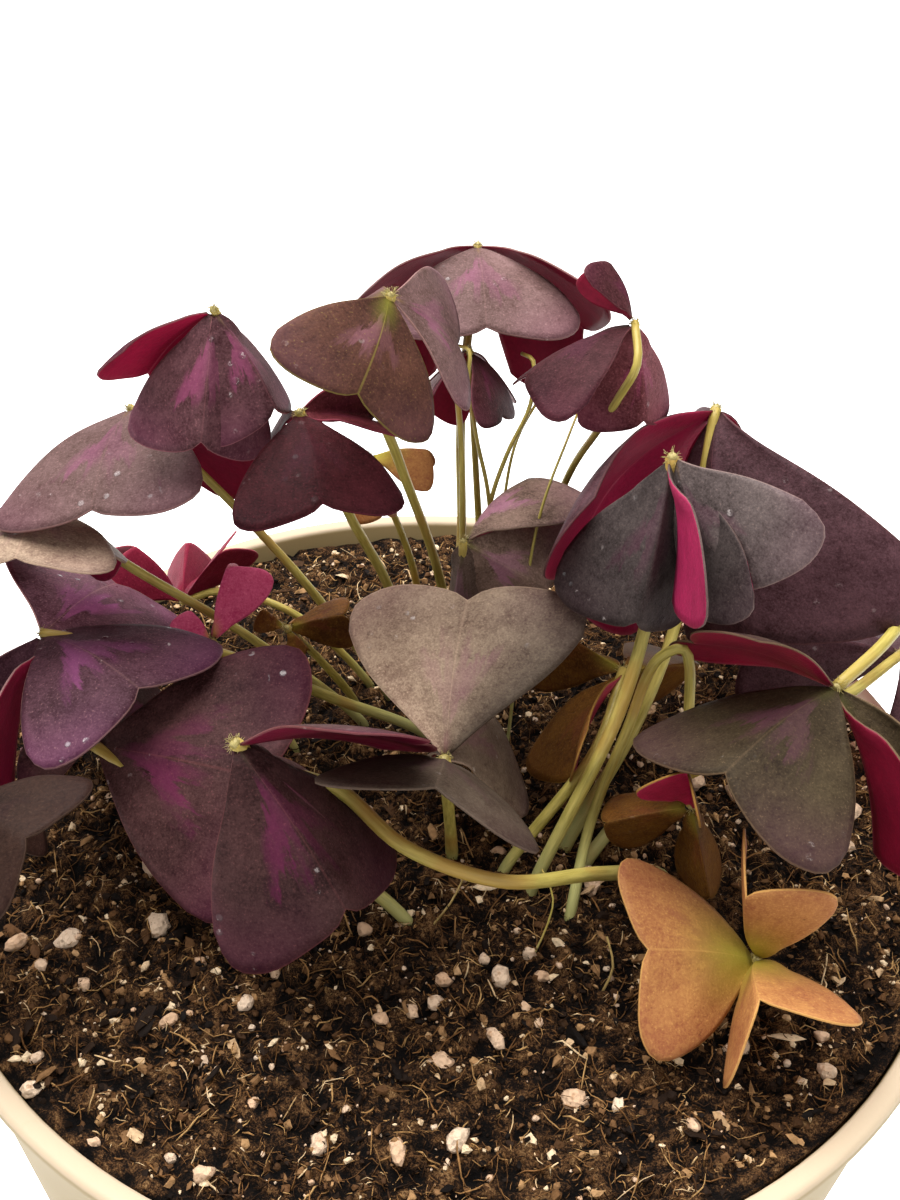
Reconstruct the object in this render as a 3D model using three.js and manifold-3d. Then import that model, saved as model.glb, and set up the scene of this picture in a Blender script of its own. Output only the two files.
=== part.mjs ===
// A purple shamrock in a round nursery pot: the pot, its fill of soil, and each leaf as a stalk and a set
// of three folded leaflets. Millimetres, +Z up, the pot's base centred on the origin.
import * as THREE from "three";
import { mergeVertices } from "three/addons/utils/BufferGeometryUtils.js";
import Module from "manifold-3d";

const wasm = await Module();
wasm.setup();

// Driving dimensions
const rimRadius = 100; // the pot's widest circle
const potHeight = 165;
const baseRadius = 84;
const wallThickness = 2.2;
const lipWidth = 3.8; // the lip seen from above
const lipDepth = 4.5;
const floorThickness = 2.5;
const potSides = 36;

const gap = 0.3; // clearance between separate pieces
const soilLevel = 161.5;
const holeDepth = 12;

const bladeThickness = 0.8;
const knobRadius = 2.3; // where a leaf's three leaflets meet
const apexAngle = 43; // degrees from a leaflet's midrib to its straight side
const finerOver = 30; // longer leaflets have the finer grid
const bladeStart = 1.1; // how far from the hub's middle a leaflet starts

const colours = {
  pot: 0xcdbf98,
  soil: 0x3d2b1d,
  stalk: 0xb9b15c,
  blade: 0x5b3a4a,
  young: 0xb5763f,
};

const degrees = Math.PI / 180;
const vector = (x, y, z) => new THREE.Vector3(x, y, z);

// The same random numbers on each run.
function seededRandom(seed) {
  let state = seed;
  return () => {
    state = (state * 1664525 + 1013904223) % 4294967296;
    return state / 4294967296;
  };
}

// A closed geometry as a solid that can be joined and cut.
function solidOf(geometry) {
  const bare = new THREE.BufferGeometry();
  bare.setAttribute("position", geometry.getAttribute("position"));
  if (geometry.index) {
    bare.setIndex(geometry.index);
  }
  const merged = mergeVertices(bare, 1e-4);
  return new wasm.Manifold(
    new wasm.Mesh({
      numProp: 3,
      vertProperties: new Float32Array(merged.attributes.position.array),
      triVerts: new Uint32Array(merged.index.array),
    }),
  );
}

// A cut can leave loose crumbs; this is the solid without them.
function largestBody(solid) {
  return solid.decompose().sort((a, b) => b.volume() - a.volume())[0];
}

// A solid as a named mesh with its material.
function meshOf(solid, name, colour, roughness) {
  const made = solid.getMesh();
  const geometry = new THREE.BufferGeometry();
  geometry.setAttribute("position", new THREE.BufferAttribute(made.vertProperties, 3));
  geometry.setIndex(new THREE.BufferAttribute(made.triVerts, 1));
  geometry.computeVertexNormals();
  const material = new THREE.MeshStandardMaterial({ color: colour, roughness, metalness: 0 });
  const mesh = new THREE.Mesh(geometry, material);
  mesh.name = name;
  return mesh;
}

// A profile of [radius, height] points turned about the Z axis; it runs upwards on the outside.
function turned(profile, sides) {
  const points = profile.map(([radius, height]) => new THREE.Vector2(radius, height));
  return solidOf(new THREE.LatheGeometry(points, sides).rotateX(Math.PI / 2));
}

// Pot

const mouthRadius = rimRadius - lipWidth + wallThickness; // the wall's outer face carried up to the rim
const wallRadius = (height) => baseRadius + ((mouthRadius - baseRadius) * height) / potHeight;
const innerRadius = (height) => wallRadius(height) - wallThickness;

function makePot() {
  const lipBottom = potHeight - lipDepth;
  const profile = [
    [0, 0],
    [baseRadius - 1.5, 0],
    [wallRadius(1.5), 1.5],
    [wallRadius(lipBottom), lipBottom],
    [rimRadius - 0.6, lipBottom + 0.9],
    [rimRadius, lipBottom + 2.2],
    [rimRadius, potHeight - 2],
    [rimRadius - 0.8, potHeight - 0.5],
    [rimRadius - 1.9, potHeight],
    [innerRadius(potHeight) + 0.6, potHeight - 0.4],
    [innerRadius(potHeight - 1.5), potHeight - 1.5],
    [innerRadius(floorThickness), floorThickness],
    [0, floorThickness],
  ];
  return turned(profile, potSides);
}

// Soil

// How far the soil's face stands above its level: a little mound under the crown, lower at the back left.
function soilSwell(x, y) {
  const mound = 2.4 * Math.exp(-((x - 8) ** 2 + (y + 8) ** 2) / 1800);
  const fall = -0.012 * (y - x);
  const lumps = 0.5 * Math.sin(x * 0.21 + 1.3) * Math.cos(y * 0.17);
  return mound + fall + lumps;
}

function makeSoilBody() {
  const rings = 5;
  const top = innerRadius(soilLevel) - gap;
  const profile = [
    [0, floorThickness + gap],
    [innerRadius(floorThickness + gap) - gap, floorThickness + gap],
    [top, soilLevel],
  ];
  for (let ring = rings - 1; ring >= 0; ring--) {
    profile.push([(top * ring) / rings, soilLevel]);
  }
  const points = profile.map(([radius, height]) => new THREE.Vector2(radius, height));
  const geometry = new THREE.LatheGeometry(points, potSides).rotateX(Math.PI / 2);
  const place = geometry.getAttribute("position");
  for (let i = 0; i < place.count; i++) {
    const [x, y, z] = [place.getX(i), place.getY(i), place.getZ(i)];
    const reach = Math.hypot(x, y) / top;
    if (z > soilLevel - 0.01 && reach < 0.99) {
      place.setZ(i, z + soilSwell(x, y));
    }
  }
  return solidOf(geometry);
}

// The larger white granules of perlite: x, y and width.
const perlite = [
  [-54, -24, 4.3], [-65, -41, 4.1], [-74, -42, 3.5], [-50, -37, 4.4], [-44, -57, 2.9],
  [-28, -46, 2.6], [-13, -38, 2.7], [1, -48, 3.2], [0, -52, 2.9], [11, -48, 3.9],
  [16, -42, 2.6], [18, -47, 2.6], [1, -63, 4.0], [10, -59, 2.8], [28, -27, 3.5],
  [29, -11, 2.5], [59, -2, 4.9], [51, 2, 4.6], [81, -5, 4.2], [78, -13, 3.8],
  [22, -69, 4.6], [4, -77, 3.9], [-5, -79, 3.3], [-17, -77, 3.3], [-33, -84, 3.0],
  [-51, -78, 2.8], [-63, -70, 2.9], [-60, -50, 2.7], [-32, -53, 2.9], [63, -63, 2.9],
  [49, -59, 3.9], [11, -19, 2.5], [-66, -5, 3.4], [-32, 25, 2.8],
];

// Small white granules, half sunk in the soil's face.
function makePerlite() {
  const random = seededRandom(7);
  return perlite.map(([x, y, width]) => {
    const size = 0.6 * width;
    const geometry = new THREE.OctahedronGeometry(size, 0);
    geometry.scale(1, 0.8 + 0.3 * random(), 0.8);
    geometry.rotateZ(random() * 3);
    geometry.translate(x, y, soilLevel + soilSwell(x, y) + 0.3 * size);
    return solidOf(geometry);
  });
}

// Leaves

// A leaflet's own axes: ahead along the midrib, up out of its upper face, right across it.
function leafletAxes(heading, dip, roll) {
  const [turn, fall, tilt] = [heading * degrees, dip * degrees, roll * degrees];
  const ahead = vector(Math.cos(turn) * Math.cos(fall), Math.sin(turn) * Math.cos(fall), -Math.sin(fall));
  const level = vector(Math.cos(turn) * Math.sin(fall), Math.sin(turn) * Math.sin(fall), Math.cos(fall));
  const beside = ahead.clone().cross(level);
  const up = level.clone().multiplyScalar(Math.cos(tilt)).addScaledVector(beside, Math.sin(tilt));
  const right = beside.clone().multiplyScalar(Math.cos(tilt)).addScaledVector(level, -Math.sin(tilt));
  return { ahead, up, right };
}

// How far the far margin reaches, as a share of the length: notched at the midrib, widest at the lobes.
// Roundness 0 leaves the lobes' outer corners sharp and 1 rounds them well.
function marginReach(share, roundness) {
  const lobe = Math.sin((Math.PI / 2) * Math.min(1, share / 0.78)) ** 0.8;
  const corner = Math.max(0, (share - 0.8) / 0.2) ** 2;
  return 0.95 + 0.2 * lobe - (0.1 + 0.17 * roundness) * corner;
}

// The fold is slack at the hub and full from a third of the way out.
const foldAt = (fold, out) => fold * Math.min(1, 0.4 + 1.8 * out) * degrees;

const fineGrid = { acrossSteps: [-1, -0.8, -0.35, 0, 0.35, 0.8, 1], outSteps: [0, 0.4, 0.75, 1] };
const plainGrid = { acrossSteps: [-1, -0.8, 0, 0.8, 1], outSteps: [0, 0.5, 1] };

// A leaflet as one closed thin body; across runs -1 to 1 over its width, out 0 to 1 along it.
function makeLeaflet(hub, leaf, [heading, dip, roll, fold, share = 1]) {
  const { ahead, up, right } = leafletAxes(heading, dip, roll);
  const { roundness = 0.5, arching = 0.07 } = leaf;
  const length = leaf.length * share;
  const { acrossSteps, outSteps } = length > finerOver ? fineGrid : plainGrid;
  const columns = acrossSteps.length;
  const rows = outSteps.length;
  const faces = [[], []];
  for (const out of outSteps) {
    const bend = foldAt(fold, out);
    for (const across of acrossSteps) {
      const angle = Math.abs(across) * apexAngle * (1 + 0.12 * Math.sin(Math.PI * out)) * degrees;
      const margin = length * marginReach(Math.abs(across), roundness);
      const reach = bladeStart + (margin - bladeStart) * out;
      const side = Math.sign(across);
      const sideways = right.clone().multiplyScalar(side * Math.cos(bend));
      sideways.addScaledVector(up, -Math.sin(bend));
      const arch = arching * length * Math.sin(Math.PI * out);
      const point = hub.clone();
      point.addScaledVector(ahead, reach * Math.cos(angle));
      point.addScaledVector(sideways, reach * Math.sin(angle));
      point.addScaledVector(up, arch);
      const normal = up.clone().multiplyScalar(Math.cos(bend)).addScaledVector(right, side * Math.sin(bend));
      const depth = side === 0 ? bladeThickness / Math.max(0.4, Math.cos(bend) ** 2) : bladeThickness;
      faces[0].push(point);
      faces[1].push(point.clone().addScaledVector(normal, -depth));
    }
  }
  const place = faces.flat().flatMap((p) => [p.x, p.y, p.z]);
  const index = [];
  const under = rows * columns;
  const quad = (a, b, c, d) => index.push(a, b, c, a, c, d);
  for (let row = 0; row < rows - 1; row++) {
    for (let column = 0; column < columns - 1; column++) {
      const a = row * columns + column;
      const [b, c, d] = [a + 1, a + columns + 1, a + columns];
      if (column < (columns - 1) / 2) {
        quad(a, b, c, d);
        quad(under + a, under + d, under + c, under + b);
      } else {
        quad(b, c, d, a);
        quad(under + b, under + a, under + d, under + c);
      }
    }
  }
  // The rim of the body, walked once round.
  const rim = [];
  for (let column = 0; column < columns - 1; column++) {
    rim.push(column);
  }
  for (let row = 0; row < rows - 1; row++) {
    rim.push(row * columns + columns - 1);
  }
  for (let column = columns - 1; column > 0; column--) {
    rim.push((rows - 1) * columns + column);
  }
  for (let row = rows - 1; row > 0; row--) {
    rim.push(row * columns);
  }
  rim.forEach((a, i) => {
    const b = rim[(i + 1) % rim.length];
    quad(b, a, under + a, under + b);
  });
  const geometry = new THREE.BufferGeometry();
  geometry.setAttribute("position", new THREE.Float32BufferAttribute(place, 3));
  geometry.setIndex(index);
  return solidOf(geometry);
}

// A round tube of one thickness along a route of points, closed at both ends; its ends can reach further.
function makeTube(route, radius, steps, further = 0) {
  const shape = new THREE.Shape();
  const sides = 6;
  for (let i = 0; i < sides; i++) {
    const turn = (i * 2 * Math.PI) / sides;
    const at = [radius * Math.cos(turn), radius * Math.sin(turn)];
    if (i === 0) {
      shape.moveTo(...at);
    } else {
      shape.lineTo(...at);
    }
  }
  const path = new THREE.CatmullRomCurve3(route, false, "centripetal");
  const geometry = new THREE.ExtrudeGeometry(shape, { steps, extrudePath: path, bevelEnabled: false });
  const place = geometry.getAttribute("position");
  for (const [share, sign] of [[0, -1], [1, 1]]) {
    const end = path.getPointAt(share);
    const outward = path.getTangentAt(share).multiplyScalar(sign);
    for (let i = 0; i < place.count; i++) {
      const point = vector(place.getX(i), place.getY(i), place.getZ(i));
      if (point.distanceTo(end) < 1.01 * radius) {
        point.addScaledVector(outward, further);
        place.setXYZ(i, point.x, point.y, point.z);
      }
    }
  }
  return solidOf(geometry);
}

// A stalk stands in its hole, follows its bends, and ends just short of the hub.
function stalkRoute({ hub, root, bends }) {
  const [x, y] = root;
  const collar = vector(x, y, soilLevel + soilSwell(x, y) + 1);
  const inner = bends.map((bend) => vector(...bend));
  const top = vector(...hub);
  const next = inner.length ? inner[0] : top;
  const lean = next.clone().sub(collar).normalize();
  lean.z += 1;
  const foot = collar.clone().addScaledVector(lean.normalize(), -holeDepth);
  const last = inner.length ? inner[inner.length - 1] : collar;
  const arrive = top.clone().sub(last).normalize();
  top.addScaledVector(arrive, -(0.9 * knobRadius + gap));
  return [foot, collar, ...inner, top];
}

// Each leaf: the place of its hub, the length of its leaflets, the place where its stalk enters the soil,
// the stalk's bends from the soil up and its thickness. Each leaflet: its heading, dip, roll and fold in
// degrees, and its share of the length where it is a smaller one. A fold below 0 is folded upwards.
const leaves = {
  a: {
    hub: [-39, 4, 261], length: 22, root: [-3, 31], thick: 1.7, roundness: 1,
    bends: [[-18, 26, 205], [-33, 17, 241]],
    leaflets: [[262, 58, -20, 38], [328, 50, 8, 42, 0.85], [172, 44, 44, 15, 0.82]],
  },
  b: {
    hub: [-11, 5, 264], length: 21, root: [3, 31], thick: 2.0, roundness: 0.2, young: true,
    bends: [[-3, 24, 200], [-10, 14, 229], [-13, 9, 243]],
    leaflets: [[258, 25, -38, 10], [41, 40, 41, 0, 0.94], [100, 22, 0, 30]],
  },
  c: {
    hub: [3, 58, 254], length: 28, root: [0, 40], thick: 2.2, roundness: 0,
    bends: [[2, 51, 188], [1, 55, 217]],
    leaflets: [[275, 17, 0, 5, 0.92], [199, 33, 62, 20], [345, 32, -62, 20]],
  },
  d: {
    hub: [30, 19, 255], length: 22.5, root: [12, 34], thick: 1.6, roundness: 0.6,
    bends: [[22, 30, 217], [26, 20, 234], [28, 13, 244], [30, 11, 251]],
    leaflets: [[197, 22, 12, 20, 0.95], [294, 66, 4, 40, 0.78], [130, -50, 60, 50, 0.5]],
  },
  e: {
    hub: [2, 37, 241], length: 19.5, root: [9, 38], thick: 1.6,
    bends: [[5, 41, 206]],
    leaflets: [[318, 49, -25, 5, 0.75], [200, 50, 60, 30, 0.7], [90, 30, 0, 40]],
  },
  f: {
    hub: [-26, 3, 244], length: 21, root: [-7, 24], thick: 2.0, roundness: 0.6,
    bends: [[-12, 23, 193], [-19, 15, 216]],
    leaflets: [[287, 18, 0, 15], [35, 20, 42, -50, 0.74], [115, 30, -10, 40, 0.7]],
  },
  g: {
    hub: [-60, 22, 234], length: 28.5, root: [-13, 27], thick: 1.9, roundness: 0.6,
    bends: [[-30, 24, 195], [-48, 25, 218]],
    leaflets: [[268, 12, 15, 2], [8, 24, -50, 15, 0.93], [150, 60, 20, 20, 0.75]],
  },
  h: {
    hub: [-75, 12, 218], length: 23.5, root: [-18, 17], thick: 2.0,
    bends: [[-40, 17, 185], [-63, 15, 204]],
    leaflets: [[275, -10, 0, 10], [355, 35, -55, 20, 0.7], [165, 20, 0, 30]],
  },
  i: {
    hub: [-74, -4, 201], length: 32, root: [-5, 14], thick: 2.2, roundness: 0.3,
    bends: [[-23, 12, 174], [-45, -2, 197], [-61, -6, 201]],
    leaflets: [[80, 17, 20, 5], [262, 45, 10, -72, 0.9], [322, -5, 3, 12, 0.91]],
  },
  j: {
    hub: [-63, -18, 187], length: 37, root: [-6, -36], thick: 2.4, roundness: 0.4,
    bends: [[-20, -34, 177], [-41, -32, 185]],
    leaflets: [[340, -8, 36, 9, 0.98], [185, 0, 0, 55, 0.35], [90, 10, 0, 55, 0.8]],
  },
  k: {
    hub: [-32, -41, 210], length: 31.5, root: [41, -24], thick: 2.6, roundness: 0.4,
    bends: [[27, -36, 178], [9, -47, 188], [-6, -45, 193], [-17, -37, 197], [-27, -38, 202]],
    leaflets: [[320, 40, 12, 40], [0, -3, -46, 0, 0.92], [350, 45, 30, 60, 0.85]],
  },
  l: {
    hub: [0, -28, 196], length: 31, root: [2, -20], thick: 2.4, roundness: 0.2,
    bends: [],
    leaflets: [[83, -30, -12, 0], [69, 22, 4, 52, 0.9], [267, -34, -14, 16, 0.85]],
  },
  m: {
    hub: [34, -10, 245], length: 28, root: [17, -28], thick: 2.4,
    bends: [[30, -20, 203], [34, -12, 225]],
    leaflets: [[250, 65, -20, 50], [302, 34, 85, 15, 0.87], [281, 66, -12, -76, 0.86]],
  },
  n: {
    hub: [48, 26, 236], length: 44, root: [24, -17], thick: 2.4, arching: 0.13,
    bends: [[35, -9, 188], [42, 3, 203]],
    leaflets: [[284, 48, 62, 28], [213, 40, 75, 15, 0.97], [90, 45, 0, 45]],
  },
  p: {
    hub: [2, 10, 215], length: 26, root: [5, 8], thick: 2.0,
    bends: [[3, 10, 190]],
    leaflets: [[5, 33, 72, 30, 0.8], [55, -10, -40, 40, 0.88], [260, 80, 10, 65]],
  },
  q: {
    hub: [33, 0, 194], length: 23.5, root: [12, -24], thick: 2.2,
    bends: [[27, -16, 188]],
    leaflets: [[140, 0, -20, 70], [240, 34, 58, -20], [35, 20, 50, 65]],
  },
  r: {
    hub: [65, -21, 209], length: 30.5, root: [62, 46], thick: 2.4, roundness: 0.4,
    bends: [[68, 41, 187], [81, 25, 202], [85, 6, 209], [76, -10, 211]],
    leaflets: [[222, 4, 0, 22], [170, -12, 45, 0, 0.85], [300, 56, -6, -72]],
  },
  s: {
    hub: [42, -31, 190], length: 17.5, root: [24, -32], thick: 2.0, young: true,
    bends: [[27, -22, 176], [32, -17, 194], [36, -15, 209], [40, -15, 211], [42, -18, 200], [41, -24, 194]],
    leaflets: [[174, 24, -43, 63, 0.9], [300, 60, 30, 70], [235, -68, 0, 50, 0.75]],
  },
  t: {
    hub: [53, -48, 172], length: 24, root: [52, -46], thick: 2.2, young: true,
    bends: [],
    leaflets: [[198, -25, -26, 12], [25, -108, 12, 45, 0.83], [254, -35, 41, 40, 0.92]],
  },
  u: {
    hub: [-74, -48, 202], length: 25.5, root: [-77, -20], thick: 2.4, roundness: 0.6,
    bends: [[-75, -35, 186]],
    leaflets: [[325, -14, 24, 20, 0.75], [200, 20, 0, 40], [60, 35, 0, 40, 0.6]],
  },
  v: {
    hub: [-46, 8, 191], length: 15, root: [-32, 10], thick: 1.8, young: true,
    bends: [[-40, 15, 172]],
    leaflets: [[75, -55, -20, 60], [150, -50, 30, 70, 0.5], [300, -20, 0, 70, 0.5]],
  },
  w: {
    hub: [-59, 37, 179], length: 17, root: [-18, 32], thick: 1.8,
    bends: [[-34, 33, 180], [-50, 36, 183]],
    leaflets: [[180, -60, 20, 50], [0, -55, 60, 70], [95, -20, 0, 60]],
  },
  x: {
    hub: [-32, 12, 192], length: 12, root: [-20, 24], thick: 1.8, young: true,
    bends: [[-27, 18, 180]],
    leaflets: [[5, -15, 40, 50], [330, 30, 0, 50, 0.5], [140, -10, 0, 60, 0.6]],
  },
  y: {
    hub: [-17, 32, 220], length: 12, root: [-5, 36], thick: 1.6, young: true,
    bends: [[-8, 34, 192]],
    leaflets: [[0, -10, 0, 55], [300, 50, 0, 50], [120, 20, 0, 50]],
  },
  z: {
    hub: [92, 17, 187], length: 29.5, root: [28, -20], thick: 2.4,
    bends: [[37, -12, 171], [49, -13, 183], [75, 2, 186]],
    leaflets: [[175, -5, -30, 50], [60, 15, 0, 40], [300, 20, 0, 40]],
  },
};

function makeLeaf(key, leaf) {
  const hub = vector(...leaf.hub);
  const route = stalkRoute(leaf);
  const radius = leaf.thick / 2;
  const steps = Math.min(12, 2 * route.length);
  const stalk = makeTube(route, radius, steps);
  const knob = solidOf(new THREE.OctahedronGeometry(knobRadius, 0).translate(hub.x, hub.y, hub.z));
  const leaflets = leaf.leaflets.map((set) => makeLeaflet(hub, leaf, set));
  const clearance = makeTube(route, radius + 1.2 * gap, steps, 1.2 * gap);
  const joined = leaflets.reduce((whole, leaflet) => whole.add(leaflet), knob);
  const blades = largestBody(joined.subtract(clearance));
  const bladeColour = leaf.young ? colours.young : colours.blade;
  return {
    clearance,
    meshes: [
      meshOf(stalk, `leaf_${key}_stalk`, colours.stalk, 0.5),
      meshOf(blades, `leaf_${key}_blades`, bladeColour, 0.45),
    ],
  };
}

const plant = new THREE.Group();
const made = Object.entries(leaves).map(([key, leaf]) => makeLeaf(key, leaf));
const soil = makePerlite().reduce((whole, granule) => whole.add(granule), makeSoilBody());
// Each stalk's hole is its own tube with a clearance.
const bored = made.reduce((whole, { clearance }) => whole.subtract(clearance), soil);
plant.add(meshOf(makePot(), "pot", colours.pot, 0.35));
plant.add(meshOf(largestBody(bored), "soil", colours.soil, 0.95));
made.forEach(({ meshes }) => plant.add(...meshes));

export default plant;
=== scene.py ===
import math
import random

import bmesh
import bpy
from mathutils import Matrix, Vector, noise


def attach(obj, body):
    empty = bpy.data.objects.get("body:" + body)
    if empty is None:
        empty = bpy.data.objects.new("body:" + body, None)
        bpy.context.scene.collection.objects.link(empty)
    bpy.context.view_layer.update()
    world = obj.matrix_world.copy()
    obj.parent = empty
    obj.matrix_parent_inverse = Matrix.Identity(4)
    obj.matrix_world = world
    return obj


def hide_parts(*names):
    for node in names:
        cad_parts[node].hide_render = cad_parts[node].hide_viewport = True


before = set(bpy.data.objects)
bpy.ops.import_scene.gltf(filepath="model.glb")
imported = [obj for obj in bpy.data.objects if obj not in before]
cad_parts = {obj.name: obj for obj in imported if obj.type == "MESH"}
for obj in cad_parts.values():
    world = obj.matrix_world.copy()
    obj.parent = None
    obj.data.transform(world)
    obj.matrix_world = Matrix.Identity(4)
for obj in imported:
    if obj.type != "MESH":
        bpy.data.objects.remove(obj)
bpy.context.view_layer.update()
print("frame loaded:", len(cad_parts), "nodes")

mm = 0.001
bodyName = "root"


def linear(code):  # "#rrggbb" as the linear colour that a shader wants
    parts = [int(code[i:i + 2], 16) / 255 for i in (1, 3, 5)]
    return tuple([c / 12.92 if c < 0.04045 else ((c + 0.055) / 1.055) ** 2.4 for c in parts] + [1.0])


class Wire:  # a shader socket that can be used in plain arithmetic
    def __init__(self, finish, socket):
        self.finish = finish
        self.socket = socket

    def maths(self, operation, first, second=None, clamp=False):
        values = {0: first} if second is None else {0: first, 1: second}
        return self.finish.node("ShaderNodeMath", {"operation": operation, "use_clamp": clamp}, values)

    def __add__(self, other):
        return self.maths("ADD", self, other)

    def __sub__(self, other):
        return self.maths("SUBTRACT", self, other)

    def __rsub__(self, other):
        return self.maths("SUBTRACT", other, self)

    def __mul__(self, other):
        return self.maths("MULTIPLY", self, other)

    def __truediv__(self, other):
        return self.maths("DIVIDE", self, other)

    def __abs__(self):
        return self.maths("ABSOLUTE", self)

    __radd__ = __add__
    __rmul__ = __mul__

    def held(self):  # kept between 0 and 1
        return self.maths("ADD", self, 0.0, clamp=True)

    def rise(self, low, high):  # 0 below low, 1 above high, smooth between
        return self.finish.node("ShaderNodeMapRange", {"interpolation_type": "SMOOTHSTEP"},
                                {0: self, 1: low, 2: high, 3: 0.0, 4: 1.0})


class Finish:  # one material: its nodes come from node(), and surface() sets its shader
    def __init__(self, name):
        self.material = bpy.data.materials.new(name)
        self.material.use_nodes = True
        self.nodes = self.material.node_tree.nodes
        self.links = self.material.node_tree.links
        self.shader = self.nodes["Principled BSDF"]

    def join(self, value, socket):
        if isinstance(value, Wire):
            self.links.new(value.socket, socket)
        else:
            socket.default_value = value

    def node(self, kind, settings=None, sockets=None, output=0):
        made = self.nodes.new(kind)
        for key, value in (settings or {}).items():
            if key == "stops":  # a ramp's stops: [(place, colour), ...]
                ramp = made.color_ramp
                while len(ramp.elements) < len(value):
                    ramp.elements.new(1.0)
                for element, (place, colour) in zip(ramp.elements, value):
                    element.position = place
                    element.color = colour
            else:
                setattr(made, key, value)
        for key, value in (sockets or {}).items():
            self.join(value, made.inputs[key])
        return Wire(self, made.outputs[output])

    def mix(self, share, first, second, blend="MIX"):  # colours
        return self.node("ShaderNodeMix", {"data_type": "RGBA", "blend_type": blend},
                         {0: share, 6: first, 7: second}, output=2)

    def ramp(self, stops, share):  # stops: [(place, "#rrggbb"), ...]
        stops = [(place, linear(code)) for place, code in stops]
        return self.node("ShaderNodeValToRGB", {"stops": stops}, {"Fac": share})

    def place(self):  # metres, in the plant's own frame
        return self.node("ShaderNodeTexCoord", output=3)

    def speckle(self, scale, detail=2.0, rough=0.5, where=None, warp=0.0):
        where = where or self.place()
        return self.node("ShaderNodeTexNoise", None, {"Vector": where, "Scale": scale, "Detail": detail,
                                                      "Roughness": rough, "Distortion": warp})

    def cells(self, scale, feature="F1", where=None):
        where = where or self.place()
        return self.node("ShaderNodeTexVoronoi", {"feature": feature}, {"Vector": where, "Scale": scale})

    def gridOf(self, layer):  # a UV layer's two numbers
        found = self.node("ShaderNodeUVMap", {"uv_map": layer})
        apart = self.nodes.new("ShaderNodeSeparateXYZ")
        self.links.new(found.socket, apart.inputs[0])
        return Wire(self, apart.outputs[0]), Wire(self, apart.outputs[1])

    def surface(self, **values):
        for key, value in values.items():
            self.join(value, self.shader.inputs[key.replace("_", " ")])

    def bump(self, height, strength, depth):
        made = self.node("ShaderNodeBump", None, {"Height": height, "Strength": strength, "Distance": depth})
        self.join(made, self.shader.inputs["Normal"])


def meshPiece(name, points, faces, finishes, kinds=None, grid=None, smooth=True, tonesAndLight=None):
    mesh = bpy.data.meshes.new(name)
    mesh.from_pydata([tuple(p) for p in points], [], faces)
    for finish in finishes:
        mesh.materials.append(finish.material)
    if kinds:  # which finish each face has
        mesh.polygons.foreach_set("material_index", kinds)
    mesh.polygons.foreach_set("use_smooth", [smooth] * len(mesh.polygons))
    for title, values in (("grid", grid), ("tone", tonesAndLight)):
        if values:
            layer = mesh.uv_layers.new(name=title)
            for loop in mesh.loops:
                layer.data[loop.index].uv = values[loop.vertex_index]
    mesh.update()
    piece = bpy.data.objects.new(name, mesh)
    bpy.context.scene.collection.objects.link(piece)
    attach(piece, bodyName)
    return piece


view = {"place": (0, -0.176, 0.336), "pitchDown": 35.85, "roll": 2.0, "lens": 36.0, "sensor": 36.0}

cameraData = bpy.data.cameras.new("camera")
cameraData.lens = view["lens"]
cameraData.sensor_width = view["sensor"]
cameraData.clip_start = 0.01
camera = bpy.data.objects.new("camera", cameraData)
bpy.context.scene.collection.objects.link(camera)
turn = Matrix.Rotation(math.radians(90 - view["pitchDown"]), 4, "X")
tilt = Matrix.Rotation(math.radians(view["roll"]), 4, "Z")
camera.matrix_world = Matrix.Translation(view["place"]) @ turn @ tilt
bpy.context.scene.camera = camera
bpy.context.scene.view_settings.view_transform = "Standard"

studio = {
    "worldColour": (1.0, 0.985, 0.96, 1), "worldStrength": 0.45,
    "lights": {"topLight": {"place": (-0.25, 0.25, 1.25), "power": 34.0, "size": 1.2},
               "sideLight": {"place": (0.9, -0.7, 1.0), "power": 4.0, "size": 0.8}},
    "lightsAim": (0, 0, 0.18), "floorReach": 6.0, "floorGlow": 0.75,
}


def makeStudio():
    world = bpy.data.worlds.new("studio")
    world.use_nodes = True
    backdrop = world.node_tree.nodes["Background"]
    backdrop.inputs[0].default_value = studio["worldColour"]
    backdrop.inputs[1].default_value = studio["worldStrength"]
    bpy.context.scene.world = world
    for name, light in studio["lights"].items():
        data = bpy.data.lights.new(name, "AREA")
        data.energy = light["power"]
        data.size = light["size"]
        lamp = bpy.data.objects.new(name, data)
        lamp.location = light["place"]
        aim = Vector(studio["lightsAim"]) - Vector(light["place"])
        lamp.rotation_euler = aim.to_track_quat("-Z", "Y").to_euler()
        bpy.context.scene.collection.objects.link(lamp)
    pale = Finish("floorPaint")
    tone = pale.mix(pale.speckle(3.0), (0.96, 0.96, 0.96, 1), (0.98, 0.98, 0.98, 1))
    pale.surface(Base_Color=tone, Roughness=0.9)
    pale.surface(Emission_Color=(1, 1, 1, 1), Emission_Strength=studio["floorGlow"])
    reach = studio["floorReach"]
    corners = [(-reach, -reach, 0), (reach, -reach, 0), (reach, reach, 0), (-reach, reach, 0)]
    mesh = bpy.data.meshes.new("floor")
    mesh.from_pydata(corners, [], [(0, 1, 2, 3)])
    mesh.materials.append(pale.material)
    floor = bpy.data.objects.new("floor", mesh)
    bpy.context.scene.collection.objects.link(floor)


makeStudio()
print("studio ready")


pot = {  # sizes in millimetres
    "rimRadius": 100, "height": 165, "baseRadius": 84, "wall": 2.2, "floor": 2.5,
    "lipWidth": 3.8, "lipDepth": 4.5, "sides": 144,
    "colour": "#a18e66", "shade": "#95825b", "litLipColour": "#c8b499", "dust": "#9c8d6b",
    "litLipBand": (0.1637, 0.1645),  # metres up, where the lip's lighter colour takes over: painted light on the up-facing lip
}


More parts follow.
